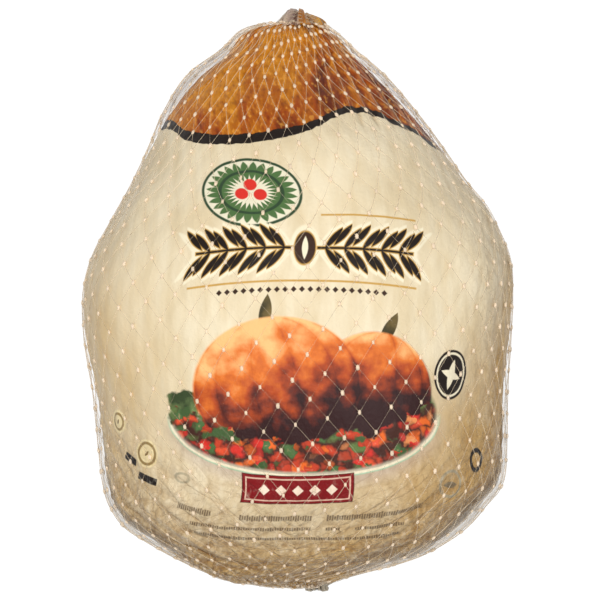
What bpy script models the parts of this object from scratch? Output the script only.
# A whole frozen turkey in a printed film bag, inside a stretched net, lying on its back.
# +Y runs from the breast end to the gathered leg end, +X is to the right seen from above,
# +Z is up through the breast, and the origin is on the floor under the middle of the pack.
import math

import bmesh
import bpy
import numpy as np
from mathutils import Matrix, Vector

MM = 0.001

# One row for each frame of the bird, from the breast end to the leg end, in millimetres:
# (y, x of its middle, half its width, top, bottom, height of its widest point)
FRAMES = (
    (-160.0, 10.0, 0.0, 64.0, 64.0, 64.0),  # closed breast end
    (-156.2, -7.8, 24.7, 102.0, 39.0, 72.0),  # breast end
    (-150.0, -7.1, 44.2, 120.1, 27.8, 75.2),
    (-142.0, -1.1, 66.9, 136.0, 18.0, 78.0),  # neck flap
    (-133.0, -0.3, 82.9, 147.8, 9.5, 80.4),
    (-124.0, -0.8, 94.7, 156.0, 4.0, 82.0),  # corners of the bag
    (-112.0, 0.4, 103.1, 165.9, 0.3, 83.4),
    (-100.0, 3.0, 108.8, 172.0, -1.0, 84.0),  # shoulders
    (-76.0, 2.4, 111.7, 179.1, -1.8, 84.1),
    (-50.0, 1.3, 114.2, 184.0, -2.0, 84.0),  # wings
    (-22.0, 0.0, 117.8, 186.0, -2.2, 83.9),
    (4.0, 0.2, 118.7, 186.0, -2.0, 84.0),  # crown of the breast
    (24.0, 1.9, 115.4, 185.3, -1.9, 84.4),
    (44.0, 2.6, 105.5, 182.0, 0.0, 85.0),  # thighs
    (64.0, 1.1, 92.8, 174.7, 5.6, 85.9),
    (84.0, -1.0, 81.4, 165.0, 14.0, 87.0),  # drumsticks
    (104.0, -4.2, 69.6, 150.0, 31.0, 89.0),
    (124.0, -6.4, 54.7, 131.0, 48.0, 90.0),  # hocks
    (138.0, -5.2, 37.1, 119.0, 60.0, 90.0),  # shoulder of the gathered end
    (149.8, -5.0, 23.0, 108.0, 72.0, 90.0),  # edge of the gathered end
    (153.5, 3.0, 0.0, 90.0, 90.0, 90.0),  # closed leg end
)
UPPER_SQUARENESS = 2.25  # 2 is an ellipse, and more is squarer
LOWER_SQUARENESS = 2.8

# What shows of the bird through the film, in millimetres:
# (share of a turn from the front, place along it, half its width, half its length, height)
BULGES = (
    (-0.09, 118.0, 34.0, 70.0, 3.0),  # left half of the breast
    (0.09, 112.0, 34.0, 70.0, 3.0),  # right half of the breast
    (-0.27, 122.0, 26.0, 48.0, 3.5),  # left wing
    (0.27, 128.0, 26.0, 52.0, 3.5),  # right wing
    (-0.16, 232.0, 24.0, 34.0, 3.5),  # left thigh
    (0.15, 236.0, 24.0, 34.0, 3.5),  # right thigh
    (-0.16, 285.0, 14.0, 16.0, 2.5),  # end of the left drumstick
    (0.20, 283.0, 14.0, 16.0, 2.5),  # end of the right drumstick
    (0.01, 268.0, 16.0, 30.0, -4.0),  # hollow between the drumsticks
    (0.0, 42.0, 26.0, 16.0, -2.5),  # fold of the neck skin
)
PLEATS = 16  # round each end, where the bag is drawn together
PLEAT_DEPTH = 1.1 * MM
PLEAT_LENGTH = 70.0 * MM

NET_CELLS_ROUND = 40
NET_STRAND_PITCH = 14.55 * MM  # from knot to knot along a strand
NET_PULL = 24.0 * MM  # the net is drawn this far up one side and down the other
NET_PULL_TOWARDS = 0.19  # share of a turn from the front to where it is drawn up most
NET_TWIST = -0.012  # share of a turn, from end to end
KNOT_RISE = 0.8 * MM
CELL_SAG = 0.8 * MM
FADE_GIRTH = 400.0 * MM  # where the bag is narrower than this, the net lies flatter on it
FADE_HEIGHT = 12.0 * MM  # and below this, where the pack's weight presses it flat

REST_HEIGHT = 0.0  # the back is cut flat here
LEG_SEAT_Y = 151.0 * MM
BREAST_SEAT_DEPTH = 1.6 * MM
SEAT_GAP = 0.3 * MM

TAIL_ROOT_RADIUS = 12.0 * MM
TAIL_TOP_RADIUS = 8.0 * MM
TAIL_END_Y = 159.6 * MM
TAIL_LEAN = 0.2  # how far the tail leans to the left, per unit of its length
TAIL_PLEATS = 9
TAIL_PLEAT_DEPTH = 0.13  # share of the radius

KNOT_RADIUS = 6.5 * MM
KNOT_LENGTH = 4.4 * MM
KNOT_PLEATS = 7
KNOT_PLEAT_DEPTH = 0.12

STEPS_PER_FRAME = 16
ROUND_SAMPLES = 720

PRINTED_FILM = (0.80, 0.70, 0.50)
ORANGE_FILM = (0.52, 0.20, 0.05)
CLEAR_NET = (0.78, 0.77, 0.72)


def clear_scene():
    for obj in list(bpy.data.objects):
        bpy.data.objects.remove(obj, do_unlink=True)


def mirrored(end, neighbour):
    """The frame past a closed end that makes the surface round off there."""
    reflection = 2 * end - neighbour
    reflection[0] = neighbour[0]
    return reflection


def dense_frames():
    """The frames in metres, with smooth ones between them."""
    rows = np.array(FRAMES) * MM
    rows = np.vstack([mirrored(rows[0], rows[1]), rows, mirrored(rows[-1], rows[-2])])
    smooth = []
    for before, start, end, after in zip(rows, rows[1:], rows[2:], rows[3:]):
        for step in range(STEPS_PER_FRAME):
            s = step / STEPS_PER_FRAME
            smooth.append(
                0.5
                * (
                    2 * start
                    + (end - before) * s
                    + (2 * before - 5 * start + 4 * end - after) * s**2
                    + (3 * start - before - 3 * end + after) * s**3
                )
            )
    smooth.append(rows[-2])
    return np.array(smooth)


def power(values, squareness):
    return np.sign(values) * np.abs(values) ** (2 / squareness)


def outline(frame):
    """Points round one frame, from the front over the right side, evenly spaced."""
    y, middle, half_width, top, bottom, widest = frame
    turn = np.linspace(0, 2 * math.pi, ROUND_SAMPLES + 1)
    upper = np.cos(turn) >= 0
    squareness = np.where(upper, UPPER_SQUARENESS, LOWER_SQUARENESS)
    reach = np.where(upper, top - widest, widest - bottom)
    x = middle + half_width * power(np.sin(turn), squareness)
    z = widest + reach * power(np.cos(turn), squareness)
    points = np.stack([x, np.full_like(x, y), z], axis=1)
    along = np.concatenate([[0], np.cumsum(np.linalg.norm(np.diff(points, axis=0), axis=1))])
    if along[-1] == 0:
        return points
    even = np.linspace(0, along[-1], ROUND_SAMPLES + 1)
    return np.stack([np.interp(even, along, points[:, k]) for k in range(3)], axis=1)


def smooth_step(share):
    share = np.clip(share, 0.0, 1.0)
    return share * share * (3.0 - 2.0 * share)


class BirdSurface:
    """The smooth outer surface, read by a share of a turn and a distance from the breast end."""

    def __init__(self):
        self.rings = np.array([outline(frame) for frame in dense_frames()])
        self.measure()
        self.rings[1:-1] += (self.ring_normals() * self.ring_lifts()[:, :, None])[1:-1]
        self.measure()

    def measure(self):
        steps = np.linalg.norm(np.diff(self.rings, axis=0), axis=2).mean(axis=1)
        self.along = np.concatenate([[0], np.cumsum(steps)])
        self.length = self.along[-1]
        self.girths = np.linalg.norm(np.diff(self.rings, axis=1), axis=2).sum(axis=1)

    def ring_normals(self):
        ahead = np.gradient(self.rings, axis=0)
        open_rings = self.rings[:, :-1]
        across = np.roll(open_rings, -1, axis=1) - np.roll(open_rings, 1, axis=1)
        across = np.concatenate([across, across[:, :1]], axis=1)
        normals = np.cross(across, ahead)
        return normals / np.maximum(np.linalg.norm(normals, axis=2, keepdims=True), 1e-12)

    def ring_lifts(self):
        turns = np.linspace(0.0, 1.0, ROUND_SAMPLES + 1)[None, :]
        along = self.along[:, None]
        lifts = np.zeros(self.rings.shape[:2])
        for turn, place, half_width, half_length, height in BULGES:
            across = ((turns - turn + 0.5) % 1.0 - 0.5) * self.girths[:, None]
            reach = (across / (half_width * MM)) ** 2 + ((along - place * MM) / (half_length * MM)) ** 2
            lifts += height * MM * np.exp(-reach)
        to_end = np.minimum(along, self.length - along)
        near_end = smooth_step(to_end / (0.3 * PLEAT_LENGTH)) * smooth_step(1.0 - to_end / PLEAT_LENGTH)
        return lifts + PLEAT_DEPTH * near_end * np.cos(2 * math.pi * PLEATS * turns)

    def girth(self, distance):
        return np.interp(distance, self.along, self.girths)

    def point(self, turn, distance):
        distance = min(max(distance, 0.0), self.length)
        row = min(max(int(np.searchsorted(self.along, distance)), 1), len(self.along) - 1)
        span = self.along[row] - self.along[row - 1]
        share = (distance - self.along[row - 1]) / span
        ring = self.rings[row - 1] * (1 - share) + self.rings[row] * share
        place = (turn % 1.0) * ROUND_SAMPLES
        column = int(place)
        here, there = ring[column], ring[min(column + 1, ROUND_SAMPLES)]
        return Vector(here + (there - here) * (place - column))

    def normal(self, turn, distance):
        small_turn, small_step = 0.004, 1.5 * MM
        across = self.point(turn + small_turn, distance) - self.point(turn - small_turn, distance)
        along = self.point(turn, distance + small_step) - self.point(turn, distance - small_step)
        return across.cross(along).normalized()


def net_rows(surface):
    """Distances of the net's rows of knots: a strand keeps its length, so wide rows sit closer."""
    rows = [0.0]
    while rows[-1] < surface.length:
        half_cell = surface.girth(rows[-1]) / (2 * NET_CELLS_ROUND)
        rows.append(rows[-1] + math.sqrt(NET_STRAND_PITCH**2 - half_cell**2))
    count = len(rows) - 1
    return [row * surface.length / rows[count] for row in rows]


def net_place(surface, rows, column, row):
    """The share of a turn and the distance of one knot or cell centre."""
    distance = rows[row]
    share = distance / surface.length
    turn = column / (2 * NET_CELLS_ROUND) + NET_TWIST * share
    hold = math.sin(math.pi * share) ** 2
    pull = NET_PULL * hold * math.sin(2 * math.pi * (turn - NET_PULL_TOWARDS) + math.pi / 2)
    return turn, distance + pull


def cut_flat(bm, point, outward):
    """Cuts the mesh off at a plane, and closes it with one flat face."""
    everything = bm.verts[:] + bm.edges[:] + bm.faces[:]
    cut = bmesh.ops.bisect_plane(
        bm, geom=everything, dist=1e-6, plane_co=point, plane_no=outward, clear_outer=True
    )
    rim = [item for item in cut["geom_cut"] if isinstance(item, bmesh.types.BMEdge)]
    bmesh.ops.contextual_create(bm, geom=rim)


def make_material(name, colour, roughness):
    material = bpy.data.materials.new(name)
    material.use_nodes = True
    shader = material.node_tree.nodes["Principled BSDF"]
    shader.inputs["Base Color"].default_value = (*colour, 1.0)
    shader.inputs["Roughness"].default_value = roughness
    shader.inputs["Metallic"].default_value = 0.0
    return material


def add_object(name, bm, material):
    bmesh.ops.recalc_face_normals(bm, faces=bm.faces[:])
    if bm.calc_volume(signed=True) < 0:
        bmesh.ops.reverse_faces(bm, faces=bm.faces[:])
    mesh = bpy.data.meshes.new(name)
    bm.to_mesh(mesh)
    bm.free()
    mesh.materials.append(material)
    obj = bpy.data.objects.new(name, mesh)
    bpy.context.scene.collection.objects.link(obj)
    return obj


def make_netted_bag(surface):
    """The filled bag out to its net: strands and knots stand up as ridges, and the cells sag."""
    rows = net_rows(surface)
    columns = 2 * NET_CELLS_ROUND
    bm = bmesh.new()
    bmesh.ops.create_uvsphere(bm, u_segments=columns, v_segments=len(rows) - 1, radius=1.0)
    is_knot = {}
    for vert in bm.verts:
        row = round((math.pi - math.acos(max(-1.0, min(1.0, vert.co.z)))) / math.pi * (len(rows) - 1))
        column = round(math.atan2(vert.co.y, vert.co.x) / (2 * math.pi) * columns) % columns
        is_knot[vert] = (row + column) % 2 == 0
        if row in (0, len(rows) - 1):
            vert.co = surface.point(0.0, rows[row])
            continue
        turn, distance = net_place(surface, rows, column, row)
        place = surface.point(turn, distance)
        fade = min(1.0, surface.girth(distance) / FADE_GIRTH, max(0.0, place.z / FADE_HEIGHT))
        lift = KNOT_RISE if is_knot[vert] else -CELL_SAG
        vert.co = place + surface.normal(turn, distance) * lift * fade
    for face in [face for face in bm.faces if len(face.verts) == 4]:
        knots = [vert for vert in face.verts if is_knot[vert]]
        bmesh.utils.face_split(face, knots[0], knots[1])

    breast_end = surface.point(0.0, 0.0)
    breast_out = (breast_end - surface.point(0.0, surface.length)).normalized()
    breast_out.z = 0.0
    breast_seat = breast_end - breast_out * BREAST_SEAT_DEPTH
    leg_end = surface.point(0.0, surface.length)
    leg_seat = Vector((leg_end.x, LEG_SEAT_Y, leg_end.z))
    cut_flat(bm, Vector((0.0, 0.0, REST_HEIGHT)), Vector((0.0, 0.0, -1.0)))
    cut_flat(bm, leg_seat, Vector((0.0, 1.0, 0.0)))
    cut_flat(bm, breast_seat, breast_out)
    bmesh.ops.triangulate(bm, faces=[face for face in bm.faces if len(face.verts) > 3])
    add_object("netted_turkey", bm, make_material("printed_film", PRINTED_FILM, 0.35))
    return leg_seat, breast_seat, breast_out


def make_gather(name, seat, outward, profile, pleats, pleat_depth, lean, material):
    """A bundle of film and net, pleated round its axis. profile is a list of (height, radius)."""
    bm = bmesh.new()
    bmesh.ops.create_circle(bm, cap_ends=True, segments=4 * pleats, radius=profile[0][1])
    rim = bm.edges[:]
    for height, radius in profile[1:]:
        grown = bmesh.ops.extrude_edge_only(bm, edges=rim)["geom"]
        rim = [item for item in grown if isinstance(item, bmesh.types.BMEdge)]
        for vert in [item for item in grown if isinstance(item, bmesh.types.BMVert)]:
            vert.co = Vector((*(vert.co.xy.normalized() * radius), height))
    bmesh.ops.contextual_create(bm, geom=rim)
    for vert in bm.verts:
        angle = math.atan2(vert.co.y, vert.co.x)
        ripple = 1.0 + pleat_depth * math.cos(pleats * angle)
        vert.co.x = vert.co.x * ripple + lean * vert.co.z
        vert.co.y = vert.co.y * ripple
    bmesh.ops.poke(bm, faces=[face for face in bm.faces if len(face.verts) > 4])
    bmesh.ops.triangulate(bm, faces=bm.faces[:])
    up = outward.normalized()
    side = Vector((0.0, 0.0, 1.0)).cross(up).normalized()
    turned = Matrix((side, up.cross(side), up)).transposed().to_4x4()
    bm.transform(Matrix.Translation(seat + up * SEAT_GAP) @ turned)
    return add_object(name, bm, material)


def centre_on_floor():
    """Moves the meshes so that the middle of their common box stands on the origin."""
    meshes = [obj.data for obj in bpy.data.objects]
    points = np.array([vert.co for mesh in meshes for vert in mesh.vertices])
    middle = (points.min(axis=0) + points.max(axis=0)) / 2
    for mesh in meshes:
        mesh.transform(Matrix.Translation((-middle[0], -middle[1], -REST_HEIGHT)))


def main():
    clear_scene()
    surface = BirdSurface()
    leg_seat, breast_seat, breast_out = make_netted_bag(surface)

    tail_length = TAIL_END_Y - LEG_SEAT_Y - SEAT_GAP
    tail_profile = [
        (0.0, TAIL_ROOT_RADIUS),
        (0.35 * tail_length, 0.80 * TAIL_ROOT_RADIUS),
        (0.75 * tail_length, 1.05 * TAIL_TOP_RADIUS),
        (tail_length, TAIL_TOP_RADIUS),
    ]
    orange = make_material("orange_film", ORANGE_FILM, 0.35)
    make_gather(
        "gathered_tail", leg_seat, Vector((0.0, 1.0, 0.0)), tail_profile,
        TAIL_PLEATS, TAIL_PLEAT_DEPTH, TAIL_LEAN, orange,
    )

    knot_profile = [
        (0.0, KNOT_RADIUS),
        (0.5 * KNOT_LENGTH, 1.1 * KNOT_RADIUS),
        (KNOT_LENGTH, 0.7 * KNOT_RADIUS),
    ]
    clear = make_material("clear_net", CLEAR_NET, 0.3)
    make_gather(
        "net_knot", breast_seat, breast_out, knot_profile,
        KNOT_PLEATS, KNOT_PLEAT_DEPTH, 0.0, clear,
    )
    centre_on_floor()


main()
